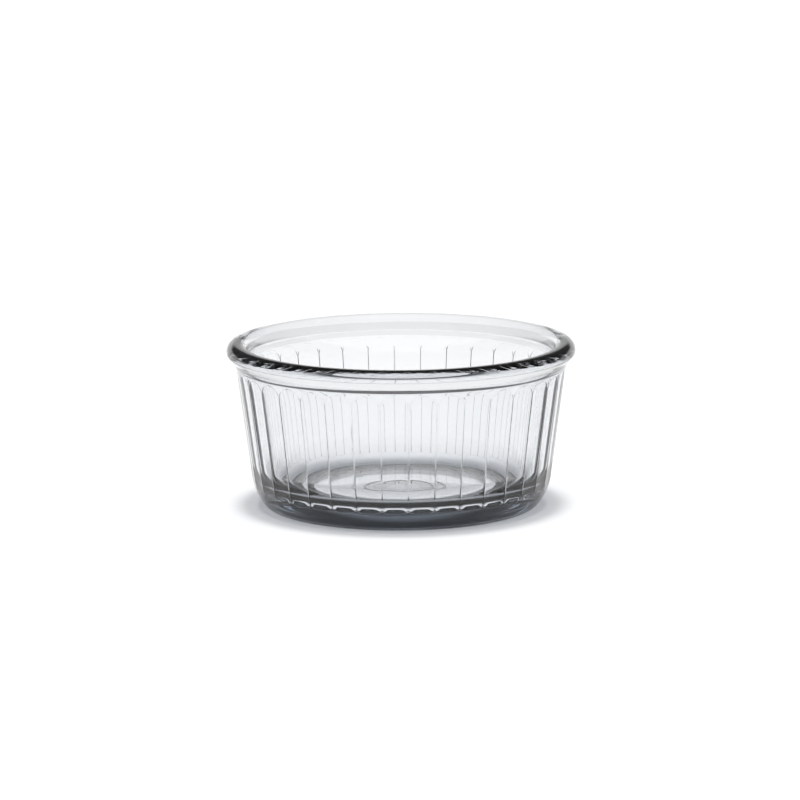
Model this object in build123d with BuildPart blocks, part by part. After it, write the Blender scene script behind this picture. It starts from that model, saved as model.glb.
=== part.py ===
# Fluted pressed-glass ramekin, one piece of clear glass, in millimetres.
# The origin is on the resting plane under the centre of the foot, and +Z points up out of the bowl.
# The section is drawn once and turned about the upright axis, then the flutes are pressed into the wall.
from build123d import *
from math import atan2, cos, degrees, pi, radians, sin, tan
import os

os.makedirs("parts", exist_ok=True)

# Driving sizes of the whole dish
rim_diameter = 100.0
height = 47.5
wall_lean_angle = 7.7
wall_thickness = 4.3
floor_level = 5.7

# The rolled rim, as a bead that stands out over the wall
bead_height = 5.2
bead_overhang = 1.8
bead_underside_rise = 2.1
bead_lip_width = 5.6
bead_outer_rounding_share = 0.8
bead_top_inner_rounding = 2.4
bead_lower_rounding = 1.1
bead_corner_rounding = 0.4
lip_drop = 4.5
lip_rounding = 0.3

# The collar, where the wall flares out to the bead
collar_height = 1.8
collar_flare = 0.9
collar_rounding = 3.0

# The heel, where the wall turns under to the foot
heel_height = 5.1
heel_undercut = 3.5
heel_rounding_share = 0.6
heel_lower_rounding = 3.2

# The foot ring and the shallow hollow of the underside
foot_ring_width = 8.2
foot_inner_rounding = 0.4
hollow_depth = 2.1
hollow_slope_width = 2.8
hollow_rounding = 3.2

# A plain raised ring and a circle of dots at the middle of the underside
mark_ring_radius = 11.6
mark_ring_width = 0.8
mark_height = 0.3
dot_count = 24
dot_circle_radius = 8.5
dot_radius = 0.55

# The inside corner between the wall and the floor
floor_corner_rounding = 8.5

# The flutes, shallow upright channels side by side that meet in sharp ridges
flute_count = 36
flute_turn_angle = 7.5
flute_depth = 0.24
flute_head_clearance = 0.3
flute_foot_level = 5.6
flute_foot_length = 0.6
flute_cutter_overrun = 1.0
flute_cutter_width_share = 1.3

# Radii and levels worked out from the sizes above, on the slope of the wall
rim_radius = rim_diameter / 2
lean = tan(radians(wall_lean_angle))
bead_bottom_level = height - bead_height
collar_bottom_level = bead_bottom_level - collar_height
collar_top_radius = rim_radius - bead_overhang
bead_top_outer_rounding = bead_outer_rounding_share * (bead_height - bead_underside_rise)
collar_bottom_radius = collar_top_radius - collar_flare


def wall_radius(level):
    """Radius of the plain outside of the wall at a height above the resting plane."""
    return collar_bottom_radius - (collar_bottom_level - level) * lean


lip_level = height - lip_drop
lip_radius = wall_radius(lip_level) - wall_thickness
inner_floor_radius = wall_radius(floor_level) - wall_thickness
heel_radius = wall_radius(heel_height)
foot_radius = heel_radius - heel_undercut
heel_slope_angle = atan2(heel_undercut, heel_height)
heel_slope_length = heel_height / cos(heel_slope_angle)
heel_turn_angle = heel_slope_angle - radians(wall_lean_angle)
heel_upper_rounding = heel_rounding_share * heel_slope_length / tan(heel_turn_angle / 2)
hollow_radius = foot_radius - foot_ring_width

# Each flute is cut by a very thick bar that leans with the wall and bites in by the flute's depth.
# The bar's radius makes neighbouring channels meet exactly on the ridges at the flutes' heads.
# Its ends are rounded lengthwise: a long round end draws the arch at the head, a short one the foot.
half_pitch_angle = pi / flute_count
flute_head_level = collar_bottom_level - flute_head_clearance
head_radius = wall_radius(flute_head_level)
bite_radius = head_radius - flute_depth
ridge_reach = head_radius * cos(half_pitch_angle)
bar_radius = (head_radius**2 + bite_radius**2 - 2 * bite_radius * ridge_reach) / (2 * (ridge_reach - bite_radius))
arch_length = head_radius * half_pitch_angle
arch_radius = (arch_length**2 + flute_depth**2) / (2 * flute_depth)
foot_curve_radius = (flute_foot_length**2 + flute_depth**2) / (2 * flute_depth)
flute_run = (flute_head_level - flute_foot_level) / cos(radians(wall_lean_angle))
straight_start = flute_foot_length
straight_end = flute_run - arch_length
wall_slope = Vector(sin(radians(wall_lean_angle)), 0, cos(radians(wall_lean_angle)))
wall_outward = Vector(cos(radians(wall_lean_angle)), 0, -sin(radians(wall_lean_angle)))
foot_point = Vector(wall_radius(flute_foot_level), 0, flute_foot_level)
bar_axis_point = foot_point + wall_outward * (bar_radius - flute_depth)
strip_half_turn = flute_cutter_width_share * arch_length / bar_radius
strip_side = Vector(0, -1, 0) * cos(strip_half_turn) - wall_outward * sin(strip_half_turn)
flute_plane = Plane(origin=bar_axis_point, x_dir=wall_slope, z_dir=strip_side)
surface_reach = bar_radius - flute_depth
outer_reach = surface_reach - flute_cutter_overrun

# A strip of that bar's skin, drawn lengthwise and turned a little way about the bar's own axis
with BuildPart() as flute_cutter:
    with BuildSketch(flute_plane):
        with BuildLine():
            Polyline((0, surface_reach), (0, outer_reach), (flute_run, outer_reach), (flute_run, surface_reach))
            RadiusArc((flute_run, surface_reach), (straight_end, bar_radius), -arch_radius)
            Line((straight_end, bar_radius), (straight_start, bar_radius))
            RadiusArc((straight_start, bar_radius), (0, surface_reach), -foot_curve_radius)
        make_face()
    revolve(axis=Axis(bar_axis_point, wall_slope), revolution_arc=2 * degrees(strip_half_turn))

# The dish itself
with BuildPart() as ramekin_dish:
    with BuildSketch(Plane.XZ):
        with BuildLine():
            section = FilletPolyline(
                (0, hollow_depth),
                (hollow_radius - hollow_slope_width, hollow_depth),
                (hollow_radius, 0),
                (foot_radius, 0),
                (heel_radius, heel_height),
                (collar_bottom_radius, collar_bottom_level),
                (collar_top_radius, bead_bottom_level),
                (rim_radius, bead_bottom_level + bead_underside_rise),
                (rim_radius, height),
                (rim_radius - bead_lip_width, height),
                (lip_radius, lip_level),
                (inner_floor_radius, floor_level),
                (0, floor_level),
                radius=(
                    hollow_rounding,
                    foot_inner_rounding,
                    heel_lower_rounding,
                    heel_upper_rounding,
                    collar_rounding,
                    bead_corner_rounding,
                    bead_lower_rounding,
                    bead_top_outer_rounding,
                    bead_top_inner_rounding,
                    lip_rounding,
                    floor_corner_rounding,
                ),
            )
            Line(section @ 1, section @ 0)
        make_face()
    revolve(axis=Axis.Z)
    with PolarLocations(0, flute_count, start_angle=flute_turn_angle):
        add(flute_cutter.part, mode=Mode.SUBTRACT)
    mark_plane = Plane.XY.offset(hollow_depth - mark_height)
    with BuildSketch(mark_plane):
        Circle(mark_ring_radius + mark_ring_width / 2)
        Circle(mark_ring_radius - mark_ring_width / 2, mode=Mode.SUBTRACT)
        with PolarLocations(dot_circle_radius, dot_count):
            Circle(dot_radius)
    extrude(until=Until.NEXT)

ramekin_dish.part.label = "ramekin_dish"
export_step(ramekin_dish.part, "parts/ramekin_dish.step")

floor_thickness = floor_level - hollow_depth
glass_volume = ramekin_dish.part.volume
strip = flute_cutter.part.bounding_box()
print(f"strip of one flute from {strip.min.Y:.2f} to {strip.max.Y:.2f} across")
print(f"bar radius {bar_radius:.1f}, floor {floor_thickness:.2f} thick, glass {glass_volume:.0f} cubic mm")
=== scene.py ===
# %% [markdown]
# # A fluted glass ramekin
#
# The ramekin is one piece of clear glass, pressed in a single shot between a mould and a plunger.
# It has a rolled rim, a short flared collar, a leaning wall with 36 upright flutes, a rounded heel and a
# flat foot ring around a shallow hollow. Glass shows its shape only by how it bends what stands around it,
# so this lesson spends its effort on two things: a very clean surface, and a studio with both bright and
# dark places for that surface to bend.
#
# The imported model comes first. It gives the frame, in metres, with the dish standing on z = 0 and its front
# towards -Y.

# %% Load the imported model
import math

import bmesh
import bpy
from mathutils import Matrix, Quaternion, Vector


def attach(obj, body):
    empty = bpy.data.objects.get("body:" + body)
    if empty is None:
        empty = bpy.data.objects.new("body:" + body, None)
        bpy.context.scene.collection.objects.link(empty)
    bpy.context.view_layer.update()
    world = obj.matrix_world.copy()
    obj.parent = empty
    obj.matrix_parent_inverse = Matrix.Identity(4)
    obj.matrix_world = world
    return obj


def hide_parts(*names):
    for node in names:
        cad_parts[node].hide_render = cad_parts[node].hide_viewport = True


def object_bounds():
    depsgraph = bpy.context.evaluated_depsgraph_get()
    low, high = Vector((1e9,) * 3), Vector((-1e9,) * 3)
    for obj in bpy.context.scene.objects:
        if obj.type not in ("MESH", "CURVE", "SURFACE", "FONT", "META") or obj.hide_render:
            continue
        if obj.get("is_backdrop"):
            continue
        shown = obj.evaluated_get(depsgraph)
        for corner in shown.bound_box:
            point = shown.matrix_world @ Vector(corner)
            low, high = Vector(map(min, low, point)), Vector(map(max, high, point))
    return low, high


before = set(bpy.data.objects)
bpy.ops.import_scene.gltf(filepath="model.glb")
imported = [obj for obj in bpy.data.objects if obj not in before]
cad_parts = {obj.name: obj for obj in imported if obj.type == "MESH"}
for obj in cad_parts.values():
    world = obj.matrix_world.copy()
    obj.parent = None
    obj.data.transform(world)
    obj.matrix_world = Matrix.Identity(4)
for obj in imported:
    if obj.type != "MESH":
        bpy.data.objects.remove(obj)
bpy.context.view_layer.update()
scene = bpy.context.scene
MM = 0.001

# %% [markdown]
# ## The camera
#
# The dish is photographed from a little above its rim with a long lens, so the near and far edges of the
# rim are almost the same width. A camera 1.65 m away with a lens of 259 mm gives that flat look. The small
# turn about the line of sight and the shift of the picture, in pixels, only place the dish in the frame.

# %% Camera
CAMERA_DISTANCE = 1.65
CAMERA_ELEVATION = math.radians(10.892)
CAMERA_ROLL = math.radians(-0.384)
LENS_LENGTH = 258.6
SENSOR_WIDTH = 36.0
NEAREST, FARTHEST = 0.1, 100.0
IMAGE_SIDE = 800
SHIFT_RIGHT = -1.41
SHIFT_UP = 18.11
AIM_HEIGHT = 0.025
aim_point = Vector((0.0, 0.0, AIM_HEIGHT))

camera_data = bpy.data.cameras.new("studio_camera")
camera_data.sensor_width = SENSOR_WIDTH
camera_data.lens = LENS_LENGTH
camera_data.shift_x = SHIFT_RIGHT / IMAGE_SIDE
camera_data.shift_y = SHIFT_UP / IMAGE_SIDE
camera_data.clip_start = NEAREST
camera_data.clip_end = FARTHEST
camera = bpy.data.objects.new("studio_camera", camera_data)
scene.collection.objects.link(camera)
line_of_sight = Vector((0.0, -math.cos(CAMERA_ELEVATION), math.sin(CAMERA_ELEVATION)))
camera.location = aim_point + line_of_sight * CAMERA_DISTANCE
camera.rotation_mode = "QUATERNION"
camera.rotation_quaternion = (-line_of_sight).to_track_quat("-Z", "Y") @ Quaternion((0, 0, 1), CAMERA_ROLL)
scene.camera = camera
print("camera at", [round(value, 3) for value in camera.location])

# %% [markdown]
# ## Shader maths as Python
#
# Every finish below is a small sum over the surface: a bit of noise, a blend, a bump. A node editor shows
# that as boxes and wires, and Python can say it as an expression. `Wire` wraps one socket and lets plus,
# minus and times add Math nodes. `NodeTree.node` makes any other node from its type, its settings and the
# values or wires of its sockets.

# %% One class for wires and one for trees
class Wire:
    """One output socket that can be used in sums."""

    def __init__(self, tree, socket):
        self.tree = tree
        self.socket = socket

    def combine(self, operation, first, second):
        return self.tree.node("ShaderNodeMath", {"operation": operation}, {0: first, 1: second})

    def __add__(self, other):
        return self.combine("ADD", self, other)

    def __sub__(self, other):
        return self.combine("SUBTRACT", self, other)

    def __rsub__(self, other):
        return self.combine("SUBTRACT", other, self)

    def __mul__(self, other):
        return self.combine("MULTIPLY", self, other)

    def power(self, other):
        return self.combine("POWER", self, other)

    def larger(self, other):
        return self.combine("MAXIMUM", self, other)

    def remainder(self, other):
        return self.combine("FLOORED_MODULO", self, other)

    def angle_from(self, other):
        return self.combine("ARCTAN2", self, other)

    def exponent(self):
        return self.tree.node("ShaderNodeMath", {"operation": "EXPONENT"}, {0: self})

    __radd__ = __add__
    __rmul__ = __mul__


class NodeTree:
    """The nodes of one material or of the world."""

    def __init__(self, owner):
        owner.use_nodes = True
        self.tree = owner.node_tree
        self.tree.nodes.clear()

    def node(self, kind, settings=None, sockets=None, output=0):
        made = self.tree.nodes.new(kind)
        for name, value in (settings or {}).items():
            setattr(made, name, value)
        for name, value in (sockets or {}).items():
            if isinstance(value, Wire):
                self.tree.links.new(value.socket, made.inputs[name])
            else:
                made.inputs[name].default_value = value
        if not made.outputs:
            return made
        return Wire(self, made.outputs[output])

    def along(self, vector, axis):
        """How far a vector reaches along an axis."""
        return self.node("ShaderNodeVectorMath", {"operation": "DOT_PRODUCT"}, {0: vector, 1: axis}, "Value")

    def fade(self, value, start, end, low=0.0, high=1.0):
        """A soft step from low to high while the value goes from start to end."""
        limits = {"Value": value, "From Min": start, "From Max": end, "To Min": low, "To Max": high}
        return self.node("ShaderNodeMapRange", {"interpolation_type": "SMOOTHSTEP"}, limits)

    def blend(self, factor, first, second):
        """A colour between two colours."""
        wires = {"Factor": factor, 6: first, 7: second}
        return self.node("ShaderNodeMix", {"data_type": "RGBA"}, wires, 2)

# %% [markdown]
# ## The studio
#
# Clear glass has no colour of its own to show. A white table alone would make it vanish, so a photographer
# keeps the room above the table dim, and the glass draws its dark lines from that. The studio here is a
# white table that reaches far back, a strip of bright sweep along the horizon, a dim room above it, a faint
# glow overhead and another in front. Each sky part is a soft step on the height of the direction, so no edge
# shows as a line in the glass.

# %% World: bright sweep under a dim room
BACK_EDGE = (0.55, 0.75)
SWEEP_TOP = (8.0, 14.0)
SWEEP_LIGHT = 0.9
SIDE_SWEEP_TOP = (3.0, 10.0)
SIDE_SWEEP_LIGHT = 0.6
OVERHEAD_EDGE = (50.0, 70.0)
OVERHEAD_GLOW = 0.25
FRONT_EDGE = (0.60, 0.85)
FRONT_GLOW_TOP = (40.0, 62.0)
FRONT_GLOW = 0.3
ROOM_LIGHT = 0.09


def heights_of(edges):
    """How high directions reach that point these many degrees above the horizon."""
    return [math.sin(math.radians(degrees)) for degrees in edges]


world = bpy.data.worlds.new("studio_world")
scene.world = world
sky = NodeTree(world)
direction = sky.node("ShaderNodeTexCoord", output="Generated")
height = sky.along(direction, (0.0, 0.0, 1.0))
towards_back = sky.fade(sky.along(direction, (0.0, 1.0, 0.0)), *BACK_EDGE)
towards_front = sky.fade(sky.along(direction, (0.0, -1.0, 0.0)), *FRONT_EDGE)
back_sweep = sky.fade(height, *heights_of(SWEEP_TOP), SWEEP_LIGHT, 0.0)
side_sweep = sky.fade(height, *heights_of(SIDE_SWEEP_TOP), SIDE_SWEEP_LIGHT, 0.0)
front_glow = sky.fade(height, *heights_of(FRONT_GLOW_TOP), FRONT_GLOW, 0.0)
sweep = side_sweep + towards_back * (back_sweep - side_sweep)
overhead = sky.fade(height, *heights_of(OVERHEAD_EDGE), 0.0, OVERHEAD_GLOW)
brightness = sweep + towards_front * front_glow + overhead + ROOM_LIGHT
sky_light = sky.node("ShaderNodeBackground", None, {"Color": (1.0, 1.0, 1.0, 1.0), "Strength": brightness})
sky.node("ShaderNodeOutputWorld", None, {"Surface": sky_light})
print("world has", len(sky.tree.nodes), "nodes")

# %% [markdown]
# The light on the table comes from one soft lamp straight above, like a cloth stretched over the set. A sun
# lamp with a spread of some twenty degrees does that evenly as far as the table reaches, and it gives the
# shadow a soft edge. It is kept out of what the glass mirrors and bends, because a real cloth is far dimmer
# to look at than a small lamp that gives the same light.

# %% One soft overhead lamp
CLOTH_LIGHT = 3.05
CLOTH_SPREAD = math.radians(24.0)
CLOTH_HEIGHT = 1.0

cloth_data = bpy.data.lights.new("overhead_cloth", "SUN")
cloth_data.energy = CLOTH_LIGHT
cloth_data.angle = CLOTH_SPREAD
cloth = bpy.data.objects.new("overhead_cloth", cloth_data)
cloth.location = (0.0, 0.0, CLOTH_HEIGHT)
cloth.visible_glossy = False
cloth.visible_transmission = False
scene.collection.objects.link(cloth)
print("lamp strength", cloth_data.energy, "spread over", round(math.degrees(cloth_data.angle)), "degrees")

# %% [markdown]
# The table is one round sheet of white paper, so wide that its edge lies close to the horizon and the dish
# mirrors no gap behind it. Paper scatters light evenly, so the finish is matt and has no shine at all. A
# trace of tooth in its colour keeps it from being as flat as a printed white.

# %% Table: a wide white disc with a trace of paper tooth
TABLE_RADIUS = 6.0
TABLE_SIDES = 96
TOOTH_SCALE = 30.0
TOOTH_ROUGHNESS = 0.1
PAPER_ROUGHNESS = 0.85
PAPER_DARK = (0.94, 0.94, 0.945, 1.0)
PAPER_LIGHT = (0.96, 0.96, 0.965, 1.0)

table_finish = bpy.data.materials.new("white_table")
table_nodes = NodeTree(table_finish)
table_place = table_nodes.node("ShaderNodeTexCoord", output="Object")
tooth_pattern = {"Vector": table_place, "Scale": TOOTH_SCALE, "Detail": 3.0}
table_tooth = table_nodes.node("ShaderNodeTexNoise", None, tooth_pattern)
table_shader = table_nodes.node(
    "ShaderNodeBsdfPrincipled",
    None,
    {
        "Base Color": table_nodes.blend(table_tooth, PAPER_DARK, PAPER_LIGHT),
        "Roughness": table_tooth * TOOTH_ROUGHNESS + PAPER_ROUGHNESS,
        "Specular IOR Level": 0.0,
    },
)
table_nodes.node("ShaderNodeOutputMaterial", None, {"Surface": table_shader})

table_mesh = bpy.data.meshes.new("table")
table_builder = bmesh.new()
bmesh.ops.create_circle(table_builder, cap_ends=True, segments=TABLE_SIDES, radius=TABLE_RADIUS)
table_builder.to_mesh(table_mesh)
table_builder.free()
table_mesh.materials.append(table_finish)
table = bpy.data.objects.new("table", table_mesh)
scene.collection.objects.link(table)
table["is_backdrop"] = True
print("table radius", TABLE_RADIUS, "m")

# %% [markdown]
# ## The section of the dish
#
# A pressed dish is round, so one line drawn from the middle of its floor, up the inside, over the rim,
# down the outside and back under the foot says nearly everything. The corners of that line are listed with
# the radius that rounds each one. The real mould is cut in the same way, with a tool that follows a line
# while the mould turns, so listing corners and roundings keeps the shape easy to read and to change.

# %% Corners of the section, in millimetres
RIM_RADIUS = 50.0
DISH_HEIGHT = 47.5
WALL_FOOT_RADIUS = 41.78
WALL_LEAN = 0.1352
WALL_THICKNESS = 4.3
BEAD_WIDTH = 5.6
BEAD_BOTTOM = 44.4
RIM_INNER_ROUNDING = 2.4
RIM_OUTER_ROUNDING = 2.48
BEAD_LOWER_ROUNDING = 1.1
CREASE_RADIUS = 48.2
CREASE_HEIGHT = 42.3
CREASE_ROUNDING = 0.4
NECK_HEIGHT = 40.5
COLLAR_ROUNDING = 3.0
LIP_HEIGHT = 43.0
LIP_ROUNDING = 0.3
HEEL_HEIGHT = 5.1
HEEL_UPPER_ROUNDING = 15.6
HEEL_LOWER_ROUNDING = 3.2
FOOT_RADIUS = 39.0
FLOOR_LEVEL = 5.7
FLOOR_CORNER = 8.5
HOLLOW_RADIUS = 30.8
HOLLOW_SLOPE = 2.8
HOLLOW_ROUNDING = 3.2
HOLLOW_EDGE_ROUNDING = 0.4
HOLLOW_DEPTH = 2.1
RING_RADIUS = 11.6
RING_WIDTH = 0.8
RING_STEP = 0.3
RING_EASE = 0.1


def wall_radius(height):
    """Radius of the leaning outer wall, measured on the ridges between the flutes."""
    return WALL_FOOT_RADIUS + WALL_LEAN * height


lip_radius = wall_radius(LIP_HEIGHT) - WALL_THICKNESS
floor_edge = lip_radius - WALL_LEAN * (LIP_HEIGHT - FLOOR_LEVEL)
ring_level = HOLLOW_DEPTH - RING_STEP
ring_outside = RING_RADIUS + RING_WIDTH / 2
ring_inside = RING_RADIUS - RING_WIDTH / 2
section_corners = [
    (0.0, FLOOR_LEVEL, 0.0),
    (floor_edge, FLOOR_LEVEL, FLOOR_CORNER),
    (lip_radius, LIP_HEIGHT, LIP_ROUNDING),
    (RIM_RADIUS - BEAD_WIDTH, DISH_HEIGHT, RIM_INNER_ROUNDING),
    (RIM_RADIUS, DISH_HEIGHT, RIM_OUTER_ROUNDING),
    (RIM_RADIUS, BEAD_BOTTOM, BEAD_LOWER_ROUNDING),
    (CREASE_RADIUS, CREASE_HEIGHT, CREASE_ROUNDING),
    (wall_radius(NECK_HEIGHT), NECK_HEIGHT, COLLAR_ROUNDING),
    (wall_radius(HEEL_HEIGHT), HEEL_HEIGHT, HEEL_UPPER_ROUNDING),
    (FOOT_RADIUS, 0.0, HEEL_LOWER_ROUNDING),
    (HOLLOW_RADIUS, 0.0, HOLLOW_EDGE_ROUNDING),
    (HOLLOW_RADIUS - HOLLOW_SLOPE, HOLLOW_DEPTH, HOLLOW_ROUNDING),
    (ring_outside + RING_EASE, HOLLOW_DEPTH, RING_EASE),
    (ring_outside - RING_EASE, ring_level, RING_EASE),
    (ring_inside + RING_EASE, ring_level, RING_EASE),
    (ring_inside - RING_EASE, HOLLOW_DEPTH, RING_EASE),
    (0.0, HOLLOW_DEPTH, 0.0),
]
floor_thickness = round(FLOOR_LEVEL - HOLLOW_DEPTH, 2)
print("section has", len(section_corners), "corners; the floor is", floor_thickness, "mm thick")

# %% [markdown]
# Each rounding is an arc that touches both neighbouring straight lines. The arcs get points every third
# of a millimetre, because glass shows a facet at once. Straight runs need few points, apart from the outer
# wall, which the flutes will bend.

# %% Round the corners
ARC_STEP = 0.34
ARC_TURN = math.radians(12)
FEWEST_ARC_STEPS = 3
WALL_STEP = 0.75
PLAIN_STEP = 2.2


def rounded_corner(before, corner, after, radius):
    """Points on the arc that rounds one corner of the section."""
    corner_point = Vector(corner)
    back = (Vector(before) - corner_point).normalized()
    ahead = (Vector(after) - corner_point).normalized()
    half_angle = back.angle(ahead) / 2
    centre = corner_point + (back + ahead).normalized() * radius / math.sin(half_angle)
    start = corner_point + back * radius / math.tan(half_angle) - centre
    turn = math.pi - 2 * half_angle
    if back.x * ahead.y - back.y * ahead.x > 0:
        turn = -turn
    arc_length = abs(turn) * radius
    steps = max(FEWEST_ARC_STEPS, math.ceil(arc_length / ARC_STEP), math.ceil(abs(turn) / ARC_TURN))
    points = []
    for step in range(steps + 1):
        angle = turn * step / steps
        x = start.x * math.cos(angle) - start.y * math.sin(angle)
        y = start.x * math.sin(angle) + start.y * math.cos(angle)
        points.append(centre + Vector((x, y)))
    return points


def rounded_section(corners):
    """The whole section as closely spaced points."""
    points = [Vector(corners[0][:2])]
    for place, (radius, height, rounding) in enumerate(corners[1:], 1):
        if rounding > 0:
            arc = rounded_corner(corners[place - 1][:2], (radius, height), corners[place + 1][:2], rounding)
        else:
            arc = [Vector((radius, height))]
        run = arc[0] - points[-1]
        on_outer_wall = corners[place - 1][:2] == (wall_radius(NECK_HEIGHT), NECK_HEIGHT)
        pieces = max(1, round(run.length / (WALL_STEP if on_outer_wall else PLAIN_STEP)))
        for piece in range(1, pieces):
            points.append(arc[0] - run * (1 - piece / pieces))
        points.extend(arc)
    return points


section = rounded_section(section_corners)
rim_place = max(range(len(section)), key=lambda place: section[place].x)
print("section has", len(section), "points, the widest at", round(section[rim_place].x, 2), "mm")

# %% [markdown]
# ## The flutes
#
# Thirty-six shallow channels run up the outside and meet in fine ridges. Each is barely a quarter of a
# millimetre deep, rounded at the top like a window arch and at the bottom like a fingertip. A boolean cut
# would leave slivers and uneven normals, which glass would show, so the channels come from a formula
# instead: the depth falls off with the square of the distance from the middle line, and at the ends the
# height counts in that distance too, which draws the arch.

# %% Depth of a flute at any place on the wall
FLUTE_COUNT = 36
FLUTE_DEPTH = 0.24
FLUTE_TOP = 40.2
FLUTE_FOOT = 5.6
ARCH_HEIGHT = 3.9
FOOT_CURVE = 1.0
FIRST_RIDGE = math.radians(2.5)
SAMPLES_ACROSS = 12
RIDGE_CROWDING = 1.5


def flute_cut(across, height):
    """How deep the flute is; across runs from -1 on one ridge to 1 on the next."""
    past_top = (height - (FLUTE_TOP - ARCH_HEIGHT)) / ARCH_HEIGHT
    past_foot = (FLUTE_FOOT + FOOT_CURVE - height) / FOOT_CURVE
    past = max(0.0, past_top, past_foot)
    return FLUTE_DEPTH * max(0.0, 1 - across * across - past * past)


def places_around():
    """Angle, place across its flute and whether it lies on a ridge, for each column of the mesh."""
    columns = []
    half_flute = math.pi / FLUTE_COUNT
    for flute in range(FLUTE_COUNT):
        middle = FIRST_RIDGE + half_flute * (2 * flute + 1)
        for sample in range(SAMPLES_ACROSS):
            even = 2 * sample / SAMPLES_ACROSS - 1
            across = math.copysign(1 - (1 - abs(even)) ** RIDGE_CROWDING, even)
            columns.append((middle + across * half_flute, across, sample == 0))
    return columns


columns = places_around()
flute_width = 2 * math.pi * wall_radius(FLUTE_TOP) / FLUTE_COUNT
print(len(columns), "columns,", FLUTE_COUNT, "flutes,", round(flute_width, 2), "mm wide at the top")

# %% [markdown]
# ## The mesh
#
# The dish is laid out as rings of quads, one ring for each point of the section and one column for each
# angle. That is the cleanest surface a turned form can have. The ridges between flutes are marked sharp, so
# that the smooth shading doesn't wash them out, and the underside gets its ring of small raised dots.

# %% Build the rings
DOT_COUNT = 24
DOT_CIRCLE = 8.5
DOT_RADIUS = 0.55
DOT_HEIGHT = RING_STEP


def dish_point(place, angle, across):
    """One point of the dish, in millimetres."""
    radius, height = section[place]
    on_outside = place > rim_place and FLUTE_FOOT < height < FLUTE_TOP
    if on_outside:
        radius = min(radius, wall_radius(height) - flute_cut(across, height))
    if place > rim_place and abs(radius - DOT_CIRCLE) < DOT_RADIUS:
        pitch = 2 * math.pi / DOT_COUNT
        off_dot = (angle + pitch / 2) % pitch - pitch / 2
        distance = math.hypot(radius - DOT_CIRCLE, off_dot * DOT_CIRCLE)
        height -= DOT_HEIGHT * max(0.0, 1 - (distance / DOT_RADIUS) ** 2)
    return Vector((radius * math.sin(angle), -radius * math.cos(angle), height)) * MM


def build_dish():
    """The whole dish as one closed mesh."""
    builder = bmesh.new()
    rings = []
    for place in range(1, len(section) - 1):
        rings.append([builder.verts.new(dish_point(place, angle, across)) for angle, across, _ in columns])
    floor_middle = builder.verts.new(Vector((0, 0, section[0].y)) * MM)
    under_middle = builder.verts.new(Vector((0, 0, section[-1].y)) * MM)
    count = len(columns)
    for place, (inner, outer) in enumerate(zip(rings, rings[1:]), 1):
        low, high = sorted((section[place].y, section[place + 1].y))
        between_ends = low > FLUTE_FOOT + FOOT_CURVE / 2 and high < FLUTE_TOP - ARCH_HEIGHT / 2
        fluted = place > rim_place and between_ends
        for column in range(count):
            ahead = (column + 1) % count
            face = builder.faces.new((inner[column], inner[ahead], outer[ahead], outer[column]))
            face.smooth = True
            if fluted and columns[column][2]:
                builder.edges.get((inner[column], outer[column])).smooth = False
    for column in range(count):
        ahead = (column + 1) % count
        builder.faces.new((floor_middle, rings[0][ahead], rings[0][column])).smooth = True
        builder.faces.new((under_middle, rings[-1][column], rings[-1][ahead])).smooth = True
    bmesh.ops.recalc_face_normals(builder, faces=builder.faces)
    volume = builder.calc_volume()
    mesh = bpy.data.meshes.new("pressed_glass_dish")
    builder.to_mesh(mesh)
    builder.free()
    return mesh, volume


dish_mesh, dish_volume = build_dish()
dish = bpy.data.objects.new("pressed_glass_dish", dish_mesh)
scene.collection.objects.link(dish)
glass_volume = round(dish_volume * 1e6, 1)
print("dish has", len(dish_mesh.polygons), "faces and", glass_volume, "cubic centimetres of glass")

# %% [markdown]
# ## The crisp edge of each flute
#
# Where two channels meet, and around each arch, the mould leaves a fine raised thread of glass, a third of a
# millimetre wide. It is too small for the rings of the mesh, so it is a bump, worked out from the same
# formula as the flutes: the thread runs where the depth of the flute comes to nothing.

# %% Thread of glass along the edge of each flute
THREAD_HALF_WIDTH = 0.16
THREAD_HEIGHT = 0.24
ARCH_SHARE = 0.18
ARCH_FADE = 0.7
OUTSIDE_EDGE = (WALL_FOOT_RADIUS - 2.0, WALL_FOOT_RADIUS - 1.0)

glass = bpy.data.materials.new("clear_pressed_glass")
glass_nodes = NodeTree(glass)
place_on_dish = glass_nodes.node("ShaderNodeTexCoord", output="Object")
east = glass_nodes.along(place_on_dish, (1.0 / MM, 0.0, 0.0))
front = glass_nodes.along(place_on_dish, (0.0, -1.0 / MM, 0.0))
rise = glass_nodes.along(place_on_dish, (0.0, 0.0, 1.0 / MM))
turn = east.angle_from(front) - FIRST_RIDGE
flute_share = turn * (FLUTE_COUNT / (2 * math.pi))
across = flute_share.remainder(1.0) * 2.0 - 1.0
past_top = (rise - (FLUTE_TOP - ARCH_HEIGHT)) * (1 / ARCH_HEIGHT)
past_foot = (FLUTE_FOOT + FOOT_CURVE - rise) * (1 / FOOT_CURVE)
past = past_top.larger(past_foot).larger(0.0)
from_edge = (across * across + past * past - 1.0) * (ARCH_HEIGHT / 2 / THREAD_HALF_WIDTH)
axis_distance = (east * east + front * front).power(0.5)
outside = glass_nodes.fade(axis_distance - rise * WALL_LEAN, *OUTSIDE_EDGE)
on_ridge = glass_nodes.fade(past, 0.0, ARCH_FADE, 1.0, ARCH_SHARE)
thread = (from_edge * from_edge * -1.0).exponent() * outside * on_ridge
print("thread is", 2 * THREAD_HALF_WIDTH, "mm wide")

# %% [markdown]
# ## The glass
#
# Soda-lime glass bends light by an index of 1.52 and swallows a little of it, a trace more of the red, so
# thick places turn a cool grey. A pressed surface is fire-polished but not flat: it keeps soft, slow waves
# from the mould, and here and there it is a little less glossy. The bend, the clearness and the depth of the
# grey are set on the shaders themselves, and only the waves and the gloss vary over the surface.

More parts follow.
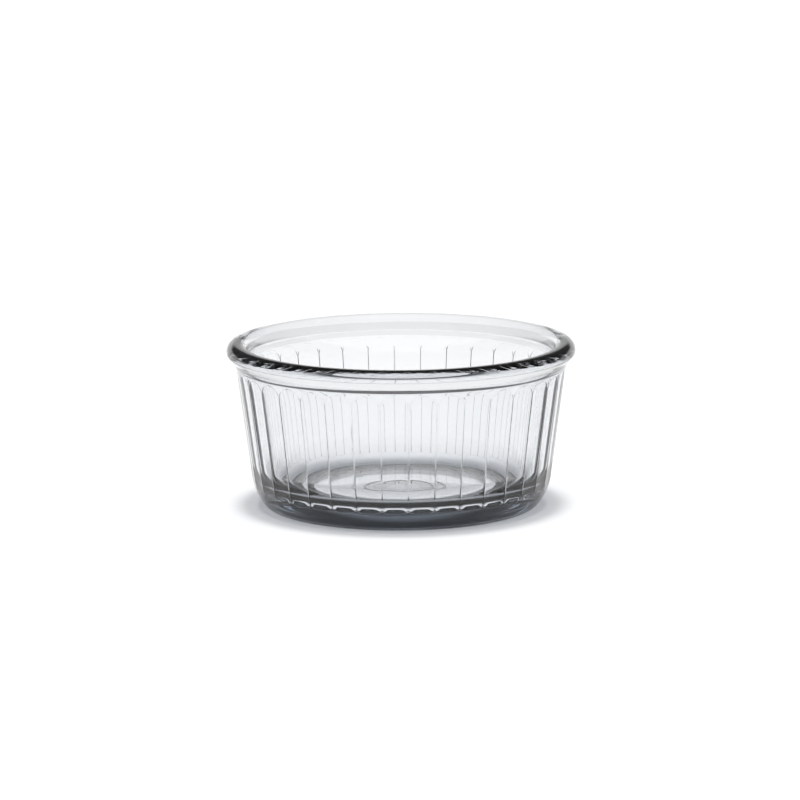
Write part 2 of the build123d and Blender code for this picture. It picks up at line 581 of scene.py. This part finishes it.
# %% Glass finish
GLASS_INDEX = 1.52
GLASS_GREY = (0.25, 0.31, 0.39, 1.0)
GLASS_DENSITY = 30.0
WAVE_HEIGHT = 0.012
WAVE_SCALE = 90.0
MIST_SCALE = 400.0
MIST_ROUGHNESS = 0.01
COOL_GLASS = (0.990, 0.994, 0.998, 1.0)
CLEAR_GLASS = (1.0, 1.0, 1.0, 1.0)

wave_pattern = {"Vector": place_on_dish, "Scale": WAVE_SCALE, "Detail": 1.0}
slow_waves = glass_nodes.node("ShaderNodeTexNoise", None, wave_pattern)
mist_pattern = {"Vector": place_on_dish, "Scale": MIST_SCALE, "Detail": 2.0}
fine_mist = glass_nodes.node("ShaderNodeTexNoise", None, mist_pattern)
surface_height = thread * THREAD_HEIGHT + slow_waves * WAVE_HEIGHT
relief = {"Height": surface_height, "Strength": 1.0, "Distance": MM}
fine_relief = glass_nodes.node("ShaderNodeBump", None, relief)
glass_shader = glass_nodes.node(
    "ShaderNodeBsdfPrincipled",
    None,
    {
        "Base Color": glass_nodes.blend(slow_waves, COOL_GLASS, CLEAR_GLASS),
        "Roughness": fine_mist * MIST_ROUGHNESS,
        "IOR": GLASS_INDEX,
        "Transmission Weight": 1.0,
        "Normal": fine_relief,
    },
)
glass_depth = {"Color": GLASS_GREY, "Density": GLASS_DENSITY}
glass_body = glass_nodes.node("ShaderNodeVolumeAbsorption", None, glass_depth)
print("clear glass bends light by", GLASS_INDEX, "and is", WAVE_HEIGHT, "mm wavy")

# %% [markdown]
# ## The lamp's way through the glass
#
# The lamp reaches the table through the glass. The floor of the dish passes nearly all of it. The lower wall
# and the thick corner bend most of it away, which leaves the dark rings that a real dish draws around its
# foot. Following every bent ray down to the table would take long and stay grainy, so the rays that look for
# a light pass straight through, and each part of the dish takes a chosen share of it.

# %% How much of the lamp's light each part lets through
THIN_PASS = (0.98, 0.98, 0.985, 1.0)
WALL_PASS = (0.2, 0.2, 0.2, 1.0)
CORNER_PASS = (0.03, 0.03, 0.03, 1.0)
WALL_SHADE_START = (8.0, 12.0)
WALL_SHADE_END = (20.0, 28.0)
CORNER_INSIDE = (29.0, 31.5)
CORNER_OUTSIDE = (37.0, 38.5)

towards_lamp = glass_nodes.node("ShaderNodeLightPath", output="Is Shadow Ray")
above_heel = glass_nodes.fade(rise, *WALL_SHADE_START)
below_middle = glass_nodes.fade(rise, *WALL_SHADE_END, 1.0, 0.0)
in_wall = above_heel * below_middle
past_hollow = glass_nodes.fade(axis_distance, *CORNER_INSIDE)
inside_heel = glass_nodes.fade(axis_distance, *CORNER_OUTSIDE, 1.0, 0.0)
in_corner = past_hollow * inside_heel
thin_pass = glass_nodes.node("ShaderNodeBsdfTransparent", None, {"Color": THIN_PASS})
wall_pass = glass_nodes.node("ShaderNodeBsdfTransparent", None, {"Color": WALL_PASS})
corner_pass = glass_nodes.node("ShaderNodeBsdfTransparent", None, {"Color": CORNER_PASS})
inner_pass = glass_nodes.node("ShaderNodeMixShader", None, {0: in_corner, 1: thin_pass, 2: corner_pass})
lamp_pass = glass_nodes.node("ShaderNodeMixShader", None, {0: in_wall, 1: inner_pass, 2: wall_pass})
surface_choice = {0: towards_lamp, 1: glass_shader, 2: lamp_pass}
glass_surface = glass_nodes.node("ShaderNodeMixShader", None, surface_choice)
glass_nodes.node("ShaderNodeOutputMaterial", None, {"Surface": glass_surface, "Volume": glass_body})
dish_mesh.materials.append(glass)
print("glass has", len(glass_nodes.tree.nodes), "nodes")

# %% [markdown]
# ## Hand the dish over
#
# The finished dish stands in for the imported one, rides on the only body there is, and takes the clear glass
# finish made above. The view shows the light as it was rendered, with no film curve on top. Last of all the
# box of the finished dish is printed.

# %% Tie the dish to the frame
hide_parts("ramekin_dish")
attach(dish, "root")
print(dish.name, "replaces ramekin_dish and rides on root")

scene.view_settings.view_transform = "Standard"
visual_box = [list(corner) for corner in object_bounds()]
finished_box = [[round(value / MM, 2) for value in corner] for corner in visual_box]
print("box of the finished dish in mm:", finished_box)
